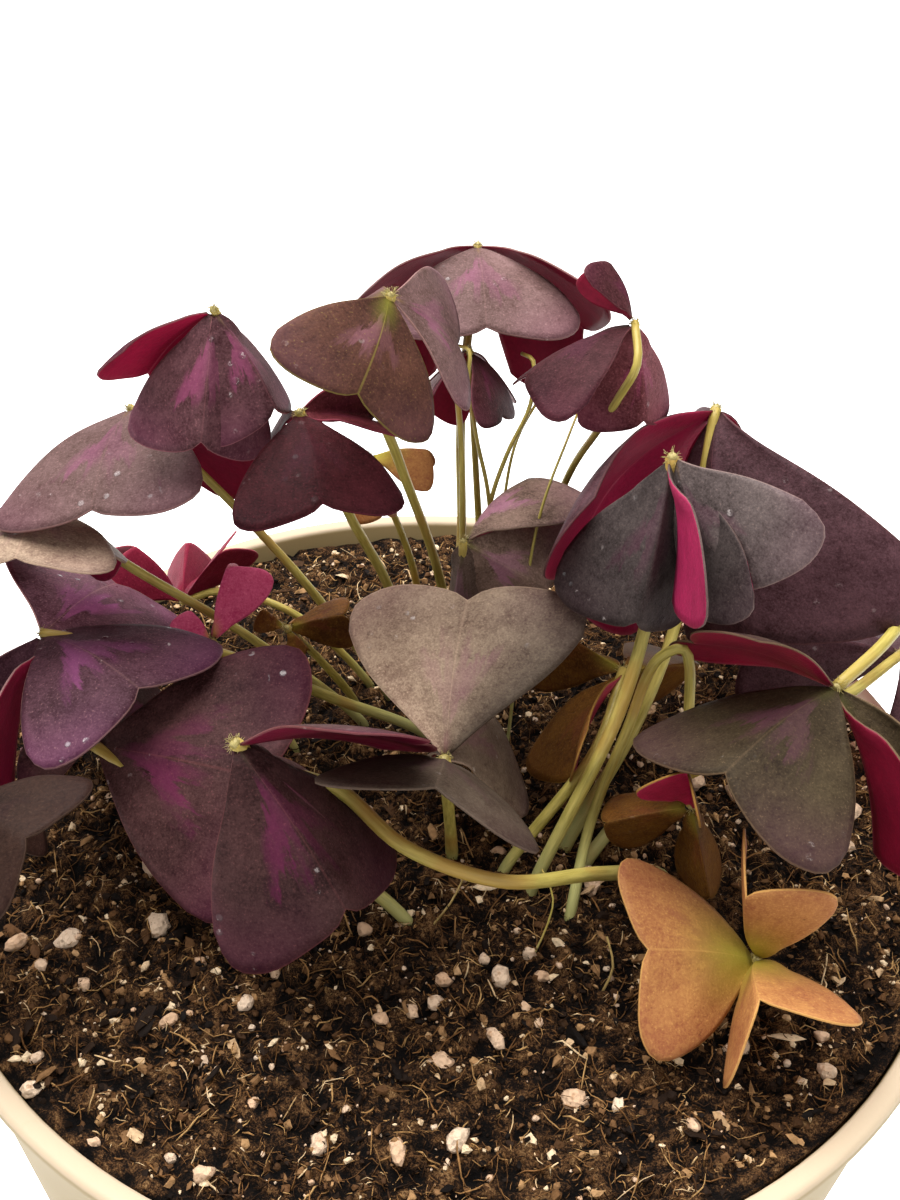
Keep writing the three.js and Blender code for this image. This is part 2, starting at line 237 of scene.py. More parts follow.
def wallRadius(height):
    mouth = pot["rimRadius"] - pot["lipWidth"] + pot["wall"]
    return pot["baseRadius"] + (mouth - pot["baseRadius"]) * height / pot["height"]


def innerRadius(height):
    return wallRadius(height) - pot["wall"]


def makePotFinish():
    cream = Finish("potCream")
    patchy = cream.speckle(28.0, 3.0)
    grain = cream.speckle(1500.0, 2.0)
    dust = cream.speckle(160.0, 4.0).rise(0.62, 0.75)
    tone = cream.mix(patchy, linear(pot["colour"]), linear(pot["shade"]))
    height = cream.node("ShaderNodeSeparateXYZ", None, {0: cream.place()}, output=2)
    # painted light: the lip above this band is coloured lighter than the wall, as if lit from above
    tone = cream.mix(height.rise(*pot["litLipBand"]), tone, linear(pot["litLipColour"]))
    tone = cream.mix(dust * 0.25, tone, linear(pot["dust"]))
    cream.surface(Base_Color=tone, Roughness=0.46 + 0.12 * patchy, Specular_IOR_Level=0.15)
    cream.bump(grain, 0.25, 0.0001)
    return cream


def makePot():
    base, rim, top = pot["baseRadius"], pot["rimRadius"], pot["height"]
    low, mouth = top - pot["lipDepth"], innerRadius(top)
    profile = [(0, 0), (base - 1.5, 0), (base - 0.4, 0.3), (wallRadius(1.5), 1.5)]
    profile += [(wallRadius(z), z) for z in (20, 50, 80, 110, 140, low - 1)]
    profile += [(wallRadius(low) + 0.2, low), (rim - 0.7, low + 0.6), (rim - 0.2, low + 1.4)]
    profile += [(rim, low + 2.2), (rim, top - 1.3), (rim - 0.1, top - 0.7), (rim - 0.4, top - 0.25)]
    profile += [(rim - 0.9, top), (rim - 1.3, top), (mouth + 0.7, top - 0.2), (mouth + 0.2, top - 0.6)]
    profile += [(innerRadius(z), z) for z in (top - 1.5, 150, 120, 60, pot["floor"])] + [(0, pot["floor"])]
    sides = pot["sides"]
    points, faces = [], []
    for radius, height in profile:
        for i in range(sides):
            turn = 2 * math.pi * i / sides
            points.append((radius * math.cos(turn) * mm, radius * math.sin(turn) * mm, height * mm))
    for row in range(len(profile) - 1):
        here, above = row * sides, (row + 1) * sides
        for i in range(sides):
            j = (i + 1) % sides
            faces.append((here + i, here + j, above + j, above + i))
    piece = meshPiece("potShell", points, faces, [makePotFinish()])
    weld(piece)
    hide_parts("pot")


def weld(piece):  # points that share a place become one
    shape = bmesh.new()
    shape.from_mesh(piece.data)
    bmesh.ops.remove_doubles(shape, verts=shape.verts, dist=1e-6)
    shape.to_mesh(piece.data)
    shape.free()


makePot()
print("pot ready")


soil = {  # sizes in millimetres
    "level": 161.5, "clearance": 0.3, "rings": 150, "spokes": 320,
    "gap": "#050201",
    "colours": ((0.42, "#050201"), (0.49, "#1e1108"), (0.56, "#6c4a2c"), (0.67, "#bd9664")),
}

litter = {  # counts, how far each kind stays off the pot's wall, and colours from dark to light
    "fibres": {"count": 5200, "steps": 5, "lengths": (2.5, 3.5, 5, 7), "radii": (0.07, 0.1, 0.13, 0.18)},
    "wisps": {"count": 13500, "steps": 3, "lengths": (0.9, 1.3, 1.8, 2.6), "radii": (0.06, 0.08, 0.12)},
    "strandMargin": 2.5, "strandLift": 1.1, "strandTilt": 0.3, "strandBend": 0.22,
    "strandColours": ((0.0, "#1e1006"), (0.25, "#523419"), (0.55, "#94683c"), (0.85, "#caa066"),
                      (1.0, "#f2d0a0")),
    "crumbs": 9400, "chips": 260, "crumbMargin": 1.8, "crumbSizes": (0.2, 0.25, 0.3, 0.4, 0.5, 0.7),
    "crumbColours": ((0.0, "#060302"), (0.32, "#26170b"), (0.6, "#6c4a2c"), (0.82, "#b88e60"),
                     (1.0, "#f8dcb4")),
    "stain": "#150b05",
}

perliteLook = {
    "small": 900, "smallReach": 90, "smallSizes": (0.3, 0.35, 0.4, 0.45, 0.5, 0.6, 0.8, 1.2),
    "white": "#e2c8ac", "cream": "#cca480", "stain": "#a87c54", "pit": "#7a5638",
}

perlite = [  # the larger granules: x, y, width
    (-54, -24, 4.3), (-65, -41, 4.1), (-74, -42, 3.5), (-50, -37, 4.4), (-44, -57, 2.9), (-41, -45, 2.3),
    (-28, -46, 2.6), (-13, -38, 2.7), (-10, -31, 2.0), (1, -48, 3.2), (0, -52, 2.9), (-4, -54, 2.5),
    (-9, -56, 2.2), (11, -48, 3.9), (8, -44, 2.3), (16, -42, 2.6), (18, -47, 2.6), (15, -53, 1.9),
    (17, -56, 1.9), (1, -63, 4.0), (10, -59, 2.8), (28, -27, 3.5), (29, -11, 2.5), (59, -2, 4.9),
    (51, 2, 4.6), (81, -5, 4.2), (78, -13, 3.8), (22, -69, 4.6), (4, -77, 3.9), (-5, -79, 3.3),
    (-17, -77, 3.3), (-33, -84, 3.0), (-39, -80, 2.1), (-51, -78, 2.8), (-63, -70, 2.9), (-64, -64, 2.3),
    (-60, -50, 2.7), (-32, -53, 2.9), (63, -63, 2.9), (49, -59, 3.9), (11, -19, 2.5), (-66, -5, 3.4),
    (-68, -47, 2.4), (-32, 25, 2.8), (64, -56, 2.0), (29, -70, 2.2), (40, -73, 2.2), (-28, -71, 2.2),
    (-37, -64, 1.9),
]


def soilSwell(x, y):
    mound = 2.4 * math.exp(-((x - 8) ** 2 + (y + 8) ** 2) / 1800)
    return mound - 0.012 * (y - x) + 0.5 * math.sin(x * 0.21 + 1.3) * math.cos(y * 0.17)


def soilFace(x, y):  # the height of the rough face at a place, in millimetres
    return soil["level"] + soilSwell(x, y) + soilRelief(x, y)


def soilRelief(x, y):  # lumps, clods and crumbs
    lumps = 1.3 * noise.noise(Vector((x * 0.11, y * 0.11, 3.0)))
    grains = 0.5 * noise.noise(Vector((x * 1.9, y * 1.9, 5.0)))
    return lumps + soilClods(x, y) + grains


def soilClods(x, y):
    crumbs = 1.1 * noise.noise(Vector((x * 0.8, y * 0.8, 11.0)))
    return 1.8 * noise.noise(Vector((x * 0.3, y * 0.3, 7.0))) + crumbs


def paintedSoilLight(x, y):  # painted light: 0 in the hollows, 1 on the tops, used to paint shade into the hollows
    return min(1, max(0, 0.45 + soilClods(x, y) * 0.55))


def spotInside(draw, edge):  # a place on the soil, evenly spread
    reach, turn = edge * math.sqrt(draw.random()), draw.uniform(0, 2 * math.pi)
    return reach * math.cos(turn), reach * math.sin(turn)


def makeSoilFinish():
    earth = Finish("pottingSoil")
    clods = earth.speckle(260.0, 5.0, 0.65)
    crumbs = earth.speckle(950.0, 5.0, 0.75, warp=0.8)
    grit = earth.speckle(3200.0, 3.0, 0.75)
    paintedTopLight, _ = earth.gridOf("grid")
    # painted shade: the share is nudged darker in the hollows
    share = clods * 0.25 + crumbs * 0.4 + grit * 0.35 + (paintedTopLight - 0.5) * 0.1
    tone = earth.ramp(soil["colours"], share)
    # painted shade: the hollows are mixed towards near-black
    tone = earth.mix((1 - paintedTopLight.rise(0.1, 0.55)) * 0.8, tone, linear(soil["gap"]))
    earth.surface(Base_Color=tone, Roughness=0.85, Specular_IOR_Level=0.15)
    earth.bump(grit * 0.6 + crumbs * 1.2 + clods, 1.0, 0.0009)
    return earth


def makeSoil():
    rings, spokes = soil["rings"], soil["spokes"]
    top = innerRadius(soil["level"]) - soil["clearance"]
    points, faces = [(0, 0, soilFace(0, 0) * mm)], []
    for ring in range(1, rings + 1):
        reach = top * ring / rings
        for i in range(spokes):
            turn = 2 * math.pi * i / spokes
            x, y = reach * math.cos(turn), reach * math.sin(turn)
            points.append((x * mm, y * mm, soilFace(x, y) * mm))
    foot = pot["floor"] + soil["clearance"]
    narrower = (innerRadius(foot) - soil["clearance"]) / top
    for i in range(spokes):  # the fill's lower edge, on the pot's floor
        points.append((points[-spokes][0] * narrower, points[-spokes][1] * narrower, foot * mm))
    for i in range(spokes):
        faces.append((0, 1 + i, 1 + (i + 1) % spokes))
    for ring in range(rings):
        inner, outer = 1 + ring * spokes, 1 + (ring + 1) * spokes
        for i in range(spokes):
            j = (i + 1) % spokes
            faces.append((inner + i, outer + i, outer + j, inner + j))
    faces.append(tuple(range(len(points) - spokes, len(points)))[::-1])
    # each point carries its painted light, for the shade painted into the hollows
    grid = [(paintedSoilLight(x / mm, y / mm), 0) for x, y, _ in points]
    piece = meshPiece("soilBed", points, faces, [makeSoilFinish()], grid=grid)
    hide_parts("soil")


def litterFinish(name, stops, roughness, bumpScale):
    made = Finish(name)
    pick, _ = made.gridOf("grid")
    grain = made.speckle(bumpScale, 3.0)
    tone = made.ramp(stops, pick)
    tone = made.mix((grain * 1.6 - 0.45).held() * 0.6, tone, linear(litter["stain"]))
    made.surface(Base_Color=tone, Roughness=roughness, Specular_IOR_Level=0.15)
    made.bump(grain, 0.6, 0.0003)
    return made


def addTubeFaces(faces, start, count, sides):  # count rings of points, closed at both ends
    for k in range(count - 1):
        for side in range(sides):
            a, b = start + k * sides + side, start + k * sides + (side + 1) % sides
            faces.append((a, b, b + sides, a + sides))
    faces.append(tuple(start + side for side in reversed(range(sides))))
    faces.append(tuple(start + (count - 1) * sides + side for side in range(sides)))


def addStrand(points, faces, grid, route, radius, pick, sides=3):  # a strand that thins to both ends
    start = len(points)
    count = len(route)
    for k, here in enumerate(route):
        ahead = (route[min(count - 1, k + 1)] - route[max(0, k - 1)]).normalized()
        beside = ahead.cross(Vector((0.13, 0.21, 1.0))).normalized()
        over = beside.cross(ahead)
        slim = radius * (0.35 + 0.65 * math.sin(math.pi * (k + 0.5) / count))
        for side in range(sides):
            turn = 2 * math.pi * side / sides
            points.append(tuple((here + (beside * math.cos(turn) + over * math.sin(turn)) * slim) * mm))
            grid.append((pick, k / (count - 1)))
    addTubeFaces(faces, start, count, sides)


def strandRoute(draw, edge, length, steps, lift, tilt, bendiness):  # a wandering line over the soil's face
    x, y = spotInside(draw, edge)
    heading, bend = draw.uniform(0, 2 * math.pi), draw.gauss(0, bendiness)
    route = []
    for k in range(steps):
        if math.hypot(x, y) > edge:
            break
        route.append(Vector((x, y, soilFace(x, y) + lift + tilt * (k - steps / 2) * length / steps)))
        x += math.cos(heading) * length / steps
        y += math.sin(heading) * length / steps
        heading += bend
    return route


def makeFibres():
    draw = random.Random(11)
    edge = innerRadius(soil["level"]) - litter["strandMargin"]
    skin = litterFinish("coirFibre", litter["strandColours"], 0.7, 1800.0)
    for name, kind in (("soilFibres", litter["fibres"]), ("soilWisps", litter["wisps"])):
        points, faces, grid = [], [], []
        for _ in range(kind["count"]):
            length = draw.choice(kind["lengths"]) * draw.uniform(0.7, 1.3)
            lift, tilt = draw.uniform(0.0, litter["strandLift"]), draw.gauss(0, litter["strandTilt"])
            route = strandRoute(draw, edge, length, kind["steps"], lift, tilt, litter["strandBend"])
            if len(route) > 2:
                # painted shade: fibres starting in a hollow get darker colours
                light = 0.5 + 0.75 * paintedSoilLight(route[1].x, route[1].y)
                radius = draw.choice(kind["radii"])
                addStrand(points, faces, grid, route, radius, min(1, draw.random() * light))
        meshPiece(name, points, faces, [skin], grid=grid)


def ballShape(splits):  # a ball's corners and its triangles
    shape = bmesh.new()
    bmesh.ops.create_icosphere(shape, subdivisions=splits, radius=1.0)
    corners = [vert.co.copy() for vert in shape.verts]
    sides = [tuple(vert.index for vert in face.verts) for face in shape.faces]
    shape.free()
    return corners, sides


coarseBall, fineBall = ballShape(1), ballShape(2)


def addLump(points, faces, grid, centre, size, pick, draw, fine=False, rough=0.35):
    corners, sides = fineBall if fine else coarseBall
    start = len(points)
    seed = Vector((draw.uniform(0, 99), draw.uniform(0, 99), draw.uniform(0, 99)))
    spin = Matrix.Rotation(draw.uniform(0, 6.28), 3, "Z") @ Matrix.Rotation(draw.uniform(-0.6, 0.6), 3, "X")
    for corner in corners:
        swell = 1 + rough * noise.noise(corner * 1.3 + seed) * 1.8
        shaped = spin @ Vector((corner.x * size[0], corner.y * size[1], corner.z * size[2])) * swell
        points.append(tuple((centre + shaped) * mm))
        grid.append((pick, corner.z * 0.5 + 0.5))
    faces.extend(tuple(start + i for i in side) for side in sides)


def makeCrumbs():
    draw = random.Random(23)
    points, faces, grid = [], [], []
    edge = innerRadius(soil["level"]) - litter["crumbMargin"]
    for number in range(litter["crumbs"]):
        x, y = spotInside(draw, edge)
        if number < litter["chips"]:  # flat chips of bark
            size, flat, long = draw.uniform(0.5, 1.1), draw.uniform(0.3, 0.6), draw.uniform(1.4, 3.0)
        else:
            size = draw.choice(litter["crumbSizes"])
            flat, long = draw.uniform(0.6, 1.0), draw.uniform(1.0, 1.6)
        centre = Vector((x, y, soilFace(x, y) + draw.uniform(-0.1, 0.9) * size))
        # painted shade: crumbs in a hollow get darker colours
        pick = min(1, draw.random() * (0.5 + 0.8 * paintedSoilLight(x, y)))
        addLump(points, faces, grid, centre, (size * long, size, size * flat), pick, draw, rough=0.6)
    skin = litterFinish("barkCrumb", litter["crumbColours"], 0.75, 1500.0)
    meshPiece("soilCrumbs", points, faces, [skin], grid=grid, smooth=False)


def makePerlite():
    draw = random.Random(5)
    points, faces, grid = [], [], []
    spots = list(perlite)
    for _ in range(perliteLook["small"]):
        x, y = spotInside(draw, perliteLook["smallReach"])
        spots.append((x, y, draw.choice(perliteLook["smallSizes"])))
    for x, y, width in spots:
        size = width / 2
        centre = Vector((x, y, soilFace(x, y) + 0.3 * size))
        shape = (size * draw.uniform(0.95, 1.3), size * draw.uniform(0.7, 1.0), size * 0.8)
        addLump(points, faces, grid, centre, shape, draw.random(), draw, fine=True, rough=0.28)
    white = Finish("perlite")
    pick, _ = white.gridOf("grid")
    pits = white.cells(1100.0)
    warm = white.speckle(520.0, 4.0, 0.6)
    tone = white.mix(pick, linear(perliteLook["white"]), linear(perliteLook["cream"]))
    tone = white.mix(warm.rise(0.55, 0.72) * 0.75, tone, linear(perliteLook["stain"]))
    tone = white.mix((1 - pits.rise(0.05, 0.25)) * 0.4, tone, linear(perliteLook["pit"]))
    white.surface(Base_Color=tone, Roughness=0.85)
    white.bump(pits + warm, 0.9, 0.0005)
    meshPiece("perliteGrains", points, faces, [white], grid=grid)


makeSoil()
makeFibres()
makeCrumbs()
makePerlite()
print("soil ready")


blade = {  # millimetres and degrees; the ripple is a share of the leaflet's length
    "apexAngle": 43, "start": 1.1, "thickness": 0.35, "rounding": 0.5, "arching": 0.07,
    "acrossSteps": 26, "outSteps": 16, "ripple": 0.016,
}

# Hub, leaflet length, root, stalk thickness, look, bends of the stalk from the soil up, and each leaflet's
# heading, dip, roll, fold and share of the length, in millimetres and degrees. Tones lighten or darken each
# leaflet, partly its own tone and partly painted light and shade; leans are painted light that makes its
# right side lighter than its left; and others names a leaflet's own look.
leaves = {
    "a": dict(hub=(-39, 4, 261), length=22, root=(-3, 31), thick=1.7, look="plumPatch",
              rounding=1, tonesAndLight=(1.15, 1.15, 0.8),
              bends=[(-18, 26, 205), (-33, 17, 241)],
              leaflets=[(262, 58, -20, 38), (328, 50, 8, 42, 0.85), (172, 44, 44, 15, 0.82)]),
    "b": dict(hub=(-11, 5, 264), length=21, root=(3, 31), thick=2.0, look="olive",
              others={1: "greyPatch"}, rounding=0.2, tonesAndLight=(0.95, 1.2, 1.0), paintedSideLight=(0.05, 0, 0),
              bends=[(-3, 24, 200), (-10, 14, 229), (-13, 9, 243)],
              leaflets=[(258, 25, -38, 10), (41, 40, 41, 0, 0.94), (100, 22, 0, 30)]),
    "c": dict(hub=(3, 58, 254), length=28, root=(0, 40), thick=2.2, look="greyPatch",
              rounding=0, tonesAndLight=(1.15, 0.9, 1.1), paintedSideLight=(-0.15, 0, 0),
              bends=[(2, 51, 188), (1, 55, 217)],
              leaflets=[(275, 17, 0, 5, 0.92), (199, 33, 62, 20), (345, 32, -62, 20)]),
    "d": dict(hub=(30, 19, 255), length=22.5, root=(12, 34), thick=1.6, look="plum",
              rounding=0.6, tonesAndLight=(0.7, 2.4, 1.0),
              bends=[(22, 30, 217), (26, 20, 234), (28, 13, 244), (30, 11, 251)],
              leaflets=[(197, 22, 12, 20, 0.95), (294, 66, 4, 40, 0.78), (130, -50, 60, 50, 0.5)]),
    "e": dict(hub=(2, 37, 241), length=19.5, root=(9, 38), thick=1.6, look="plum",
              bends=[(5, 41, 206)],
              leaflets=[(318, 49, -25, 5, 0.75), (200, 50, 60, 30, 0.7), (90, 30, 0, 40)]),
    "f": dict(hub=(-26, 3, 244), length=21, root=(-7, 24), thick=2.0, look="dark",
              rounding=0.6, tonesAndLight=(0.9, 2.2, 1.0), paintedSideLight=(-0.2, 0, 0),
              bends=[(-12, 23, 193), (-19, 15, 216)],
              leaflets=[(287, 18, 0, 15), (35, 20, 42, -50, 0.74), (115, 30, -10, 40, 0.7)]),
    "g": dict(hub=(-60, 22, 234), length=28.5, root=(-13, 27), thick=1.9, look="greyPatch",
              rounding=0.6, tonesAndLight=(0.95, 1.0, 1.0),
              bends=[(-30, 24, 195), (-48, 25, 218)],
              leaflets=[(268, 12, 15, 2), (8, 24, -50, 15, 0.93), (150, 60, 20, 20, 0.75)]),
    "h": dict(hub=(-75, 12, 218), length=23.5, root=(-18, 17), thick=2.0, look="grey",
              tonesAndLight=(1.3, 1.0, 1.0),
              bends=[(-40, 17, 185), (-63, 15, 204)],
              leaflets=[(275, -10, 0, 10), (355, 35, -55, 20, 0.7), (165, 20, 0, 30)]),
    "i": dict(hub=(-74, -4, 201), length=32, root=(-5, 14), thick=2.2, look="plumGloss",
              rounding=0.3, tonesAndLight=(1.9, 1.0, 0.85),
              bends=[(-23, 12, 174), (-45, -2, 197), (-61, -6, 201)],
              leaflets=[(80, 17, 20, 5), (262, 45, 10, -72, 0.9), (322, -5, 3, 12, 0.91)]),
    "j": dict(hub=(-63, -18, 187), length=37, root=(-6, -36), thick=2.4, look="winePatch", rounding=0.4,
              bends=[(-20, -34, 177), (-41, -32, 185)],
              leaflets=[(340, -8, 36, 9, 0.98), (185, 0, 0, 55, 0.35), (90, 10, 0, 55, 0.8)]),
    "k": dict(hub=(-32, -41, 210), length=31.5, root=(41, -24), thick=2.6, look="winePatch",
              rounding=0.4, tonesAndLight=(0.75, 0.9, 0.7),
              bends=[(27, -36, 178), (9, -47, 188), (-6, -45, 193), (-17, -37, 197), (-27, -38, 202)],
              leaflets=[(320, 40, 12, 40), (0, -3, -46, 0, 0.92), (350, 45, 30, 60, 0.85)]),
    "l": dict(hub=(0, -28, 196), length=31, root=(2, -20), thick=2.4, look="grey",
              rounding=0.2, tonesAndLight=(1.08, 0.85, 0.3), paintedSideLight=(-0.8, 0, 0),
              bends=[],
              leaflets=[(83, -30, -12, 0), (69, 22, 4, 52, 0.9), (267, -34, -14, 16, 0.85)]),
    "m": dict(hub=(34, -10, 245), length=28, root=(17, -28), thick=2.4, look="slate", tonesAndLight=(1.0, 2.1, 1.2),
              bends=[(30, -20, 203), (34, -12, 225)],
              leaflets=[(250, 65, -20, 50), (302, 34, 85, 15, 0.87), (281, 66, -12, -76, 0.86)]),
    "n": dict(hub=(48, 26, 236), length=44, root=(24, -17), thick=2.4, look="deep", arching=0.13,
              bends=[(35, -9, 188), (42, 3, 203)],
              leaflets=[(284, 48, 62, 28), (213, 40, 75, 15, 0.97), (90, 45, 0, 45)]),
    "p": dict(hub=(2, 10, 215), length=26, root=(5, 8), thick=2.0, look="green", tonesAndLight=(2.1, 2.1, 1.0),
              bends=[(3, 10, 190)],
              leaflets=[(5, 33, 72, 30, 0.8), (55, -10, -40, 40, 0.88), (260, 80, 10, 65)]),
    "q": dict(hub=(33, 0, 194), length=23.5, root=(12, -24), thick=2.2, look="brown",
              bends=[(27, -16, 188)],
              leaflets=[(140, 0, -20, 70), (240, 34, 58, -20), (35, 20, 50, 65)]),
    "r": dict(hub=(65, -21, 209), length=30.5, root=(62, 46), thick=2.4, look="greenPatch",
              rounding=0.4, tonesAndLight=(0.95, 1.15, 1.2),
              bends=[(68, 41, 187), (81, 25, 202), (85, 6, 209), (76, -10, 211)],
              leaflets=[(222, 4, 0, 22), (170, -12, 45, 0, 0.85), (300, 56, -6, -72)]),
    "s": dict(hub=(42, -31, 190), length=17.5, root=(24, -32), thick=2.0, look="brown",
              bends=[(27, -22, 176), (32, -17, 194), (36, -15, 209), (40, -15, 211), (42, -18, 200),
                     (41, -24, 194)],
              leaflets=[(174, 24, -43, 63, 0.9), (300, 60, 30, 70), (235, -68, 0, 50, 0.75)]),
    "t": dict(hub=(53, -48, 172), length=24, root=(52, -46), thick=2.2, look="orange",
              tonesAndLight=(0.9, 1.15, 1.1), paintedSideLight=(-0.25, 0, 0),
              bends=[],
              leaflets=[(198, -25, -26, 12), (25, -108, 12, 45, 0.83), (254, -35, 41, 40, 0.92)]),
    "u": dict(hub=(-74, -48, 202), length=25.5, root=(-77, -20), thick=2.4, look="dusk",
              rounding=0.6, tonesAndLight=(0.5, 0.5, 0.5),
              bends=[(-75, -35, 186)],
              leaflets=[(325, -14, 24, 20, 0.75), (200, 20, 0, 40), (60, 35, 0, 40, 0.6)]),
    "v": dict(hub=(-46, 8, 191), length=15, root=(-32, 10), thick=1.8, look="pink",
              bends=[(-40, 15, 172)],
              leaflets=[(75, -55, -20, 60), (150, -50, 30, 70, 0.5), (300, -20, 0, 70, 0.5)]),
    "w": dict(hub=(-59, 37, 179), length=17, root=(-18, 32), thick=1.8, look="crimson",
              bends=[(-34, 33, 180), (-50, 36, 183)],
              leaflets=[(180, -60, 20, 50), (0, -55, 60, 70), (95, -20, 0, 60)]),
    "x": dict(hub=(-32, 12, 192), length=12, root=(-20, 24), thick=1.8, look="brown",
              bends=[(-27, 18, 180)],
              leaflets=[(5, -15, 40, 50), (330, 30, 0, 50, 0.5), (140, -10, 0, 60, 0.6)]),
    "y": dict(hub=(-17, 32, 220), length=12, root=(-5, 36), thick=1.6, look="orange",
              bends=[(-8, 34, 192)],
              leaflets=[(0, -10, 0, 55), (300, 50, 0, 50), (120, 20, 0, 50)]),
    "z": dict(hub=(92, 17, 187), length=29.5, root=(28, -20), thick=2.4, look="deep",
              bends=[(37, -12, 171), (49, -13, 183), (75, 2, 186)],
              leaflets=[(175, -5, -30, 50), (60, 15, 0, 40), (300, 20, 0, 40)]),
}

# Each look: the upper face's dark and light, its patch and how much of it shows, the tint by the hub and
# how far out it reaches, how much the midrib shows, the margin, the under face, how wet the face is, how much
# debris lies on it, and its sheen where that isn't the usual one.
looks = {
    "plum": dict(dark="#301315", light="#583135", patch="#74304f", show=0.45, sheen=0.06,
            hub="#4a3a2c", hubReach=0.2, rib=0.15, margin="#8a5258", under="#860f2e", wet=0.2, debris=0.1),
    "plumPatch": dict(dark="#33191c", light="#604044", patch="#84405f", show=0.75,
            hub="#5a4634", hubReach=0.15, rib=0.2, margin="#a06468", under="#9a1238", wet=1.0, debris=0.4),
    "plumGloss": dict(dark="#2f161c", light="#5c3c46", patch="#8a4674", show=0.7,
            hub="#4c3430", hubReach=0.15, rib=0.2, margin="#a88078", under="#7d1230", wet=1.0, debris=0.5),
    "winePatch": dict(dark="#2a1616", light="#553837", patch="#6c244a", show=0.75,
            hub="#46382c", hubReach=0.15, rib=0.25, margin="#8a4c4c", under="#660d28", wet=0.5, debris=0.4),
    "dark": dict(dark="#24090b", light="#441b1f", patch="#4c1a30", show=0.2, sheen=0.06,
            hub="#4a2226", hubReach=0.15, rib=0.1, margin="#6c2c38", under="#8a0c30", wet=0.1, debris=0.1),
    "grey": dict(dark="#5e4a3e", light="#94806c", patch="#8a5a68", show=0.45,
            hub="#745450", hubReach=0.2, rib=0.3, margin="#b89a84", under="#7d1230", wet=0.6, debris=1.0),
    "greyPatch": dict(dark="#49342f", light="#725856", patch="#8a4c6c", show=0.5,
            hub="#6a5238", hubReach=0.15, rib=0.12, margin="#a87e78", under="#840f30", wet=0.5, debris=0.2),
    "slate": dict(dark="#2b2423", light="#514745", patch="#5e2a44", show=0.35,
            hub="#4c3a26", hubReach=0.15, rib=0.1, margin="#6c5650", under="#b42a5a", wet=0.7, debris=0.6),
    "deep": dict(dark="#2c181a", light="#563b40", patch="#542638", show=0.2,
            hub="#40302a", hubReach=0.15, rib=0.3, margin="#6c4444", under="#9a1a40", wet=0.2, debris=0.2),
    "green": dict(dark="#3e3028", light="#6c584e", patch="#84566c", show=0.7,
            hub="#55502e", hubReach=0.2, rib=0.2, margin="#8a7464", under="#a01c44", wet=0.2, debris=0.2),
    "greenPatch": dict(dark="#2c2218", light="#4c402e", patch="#6a4050", show=0.75,
            hub="#4c4828", hubReach=0.3, rib=0.25, margin="#80664c", under="#861230", wet=0.3, debris=0.5),
    "olive": dict(dark="#38201a", light="#5e3c30", patch="#7c5058", show=0.75,
            hub="#6c6a24", hubReach=0.45, rib=0.6, margin="#8c8038", under="#84253a", wet=0.2, debris=0.2),
    "brown": dict(dark="#4a2a12", light="#78501f", patch="#7a3a2c", show=0.35,
            hub="#7c7428", hubReach=0.4, rib=0.3, margin="#a07c3c", under="#9a1a3c", wet=0.1, debris=0.1),
    "dusk": dict(dark="#2c1a14", light="#4c342a", patch="#583038", show=0.2,
            hub="#3e342a", hubReach=0.2, rib=0.1, margin="#6c5444", under="#6a142a", wet=0.3, debris=0.3),
    "orange": dict(dark="#865032", light="#ae7c48", patch="#884a3c", show=0.6,
            hub="#aca638", hubReach=0.85, rib=0.3, margin="#d0a45c", under="#b87848", wet=0.0, debris=0.0),
    "pink": dict(dark="#a83058", light="#cc5a7c", patch="#c84a70", show=0.3,
            hub="#b08a40", hubReach=0.4, rib=0.2, margin="#e09098", under="#d8486c", wet=0.0, debris=0.0),
    "crimson": dict(dark="#641226", light="#842238", patch="#8a2444", show=0.3,
            hub="#6a3024", hubReach=0.2, rib=0.2, margin="#a85058", under="#861432", wet=0.0, debris=0.0),
}


bladeMarks = {
    # the pale debris colour is partly a painted glint, and the drop colour is a painted highlight on water
    # drops
    "pore": "#140909", "damp": "#1c0c0c", "debrisDark": "#2a1a12", "paleFleckAndGlint": "#cbbca8", "dropAndGlint": "#e8dcd8",
    "sheen": 0.08, "underDeep": "#2c0410", "underRib": "#b85a6c", "underMargin": "#b06068",
    "underGlow": 0.08,  # painted glow: the under face emits a little of its own colour, standing in for light through the thin blade
}


